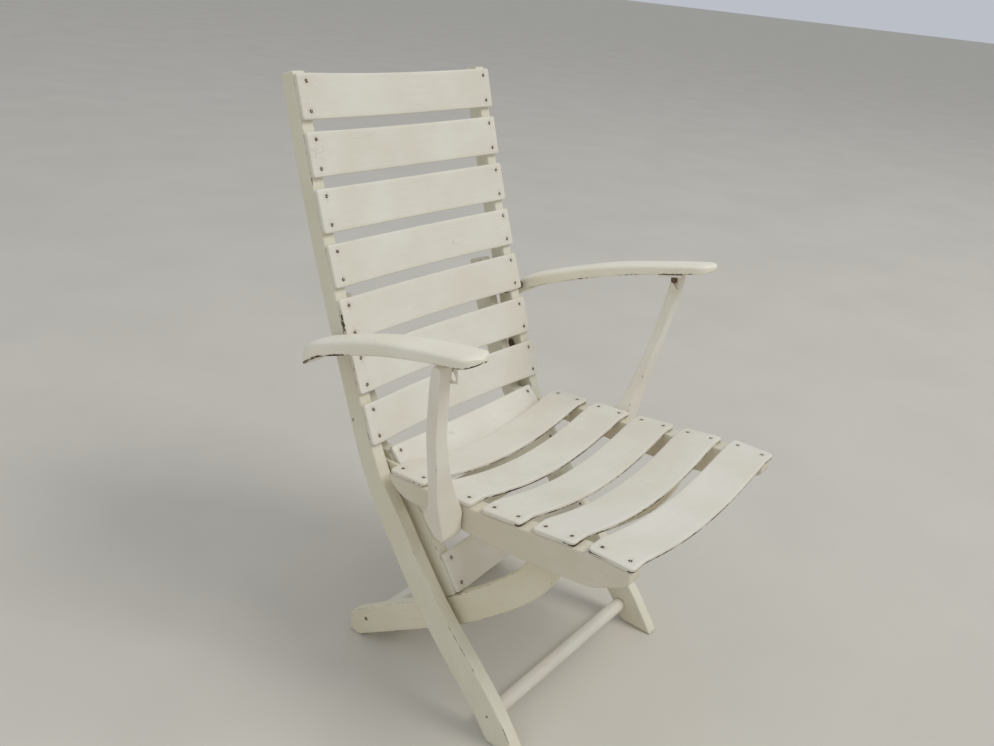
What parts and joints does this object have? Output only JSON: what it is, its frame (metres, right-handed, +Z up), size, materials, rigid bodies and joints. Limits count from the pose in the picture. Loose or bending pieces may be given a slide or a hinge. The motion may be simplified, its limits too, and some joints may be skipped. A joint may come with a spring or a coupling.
{
  "type": "steamer deck chair",
  "caption": "High-backed folding deck chair of painted bent wood slats on crossing board frames, with curved armrests on splayed supports.",
  "frame": {"origin": "on the floor, at the middle of the chair's footprint box", "axes": "+Z up, -Y the way the sitter faces, +X the sitter's left"},
  "size_m": [0.7, 0.7138, 0.9751],
  "materials": {
    "painted_wood": "cream semi-gloss paint on wood, chipped to dark wood at the edges",
    "painted_steel": "cream paint on thin steel plate",
    "steel": "dull dark steel with rust"
  },
  "bodies": {
    "seat_frame": {"rear_leg_left": "painted_wood", "rear_leg_right": "painted_wood", "inner_stile_left": "painted_wood", "inner_stile_right": "painted_wood", "seat_rail_left": "painted_wood", "seat_rail_right": "painted_wood", "rail_spacer_left": "painted_wood", "rail_spacer_right": "painted_wood", "seat_slat_1": "painted_wood", "seat_slat_2": "painted_wood", "seat_slat_3": "painted_wood", "seat_slat_4": "painted_wood", "seat_slat_5": "painted_wood", "low_slat_8": "painted_wood", "low_slat_9": "painted_wood", "low_slat_10": "painted_wood", "rear_stretcher": "painted_wood", "stop_rail": "painted_wood", "pivot_bracket_left": "painted_steel", "pivot_bracket_right": "painted_steel", "support_bolt_left": "steel", "support_bolt_right": "steel"},
    "back_frame": {"outer_board_left": "painted_wood", "outer_board_right": "painted_wood", "back_slat_1": "painted_wood", "back_slat_2": "painted_wood", "back_slat_3": "painted_wood", "back_slat_4": "painted_wood", "back_slat_5": "painted_wood", "back_slat_6": "painted_wood", "back_slat_7": "painted_wood", "front_stretcher": "painted_wood", "pivot_plate_left": "steel", "pivot_plate_right": "steel", "arm_bolt_left": "steel", "arm_bolt_right": "steel"},
    "arm_left": {"armrest_left": "painted_wood", "slide_plate_left": "painted_steel"},
    "support_left": {"arm_support_left": "painted_wood", "slide_pin_left": "steel"},
    "arm_right": {"armrest_right": "painted_wood", "slide_plate_right": "painted_steel"},
    "support_right": {"arm_support_right": "painted_wood", "slide_pin_right": "steel"}
  },
  "joints": [
    {"name": "back_fold", "type": "hinge", "parent": "seat_frame", "child": "back_frame", "pos_m": [0, 0.14342, 0.427], "axis": [1, 0, 0], "range_deg": [0, 95]},
    {"name": "arm_left_pivot", "type": "hinge", "parent": "back_frame", "child": "arm_left", "pos_m": [0.235, 0.20842, 0.58263], "axis": [1, 0, 0], "range_deg": [-76, 0]},
    {"name": "support_left_pivot", "type": "hinge", "parent": "seat_frame", "child": "support_left", "pos_m": [0.24, -0.05654, 0.39203], "axis": [1, 0, 0], "range_deg": [0, 72]},
    {"name": "arm_right_pivot", "type": "hinge", "parent": "back_frame", "child": "arm_right", "pos_m": [-0.235, 0.20842, 0.58263], "axis": [1, 0, 0], "range_deg": [-76, 0]},
    {"name": "support_right_pivot", "type": "hinge", "parent": "seat_frame", "child": "support_right", "pos_m": [-0.24, -0.05654, 0.39203], "axis": [1, 0, 0], "range_deg": [0, 72]}
  ],
  "couplings": [
    {"joint": "arm_left_pivot", "follows": "back_fold", "ratio": -0.7951},
    {"joint": "support_left_pivot", "follows": "back_fold", "ratio": 0.7436},
    {"joint": "arm_right_pivot", "follows": "back_fold", "ratio": -0.7951},
    {"joint": "support_right_pivot", "follows": "back_fold", "ratio": 0.7436}
  ]
}
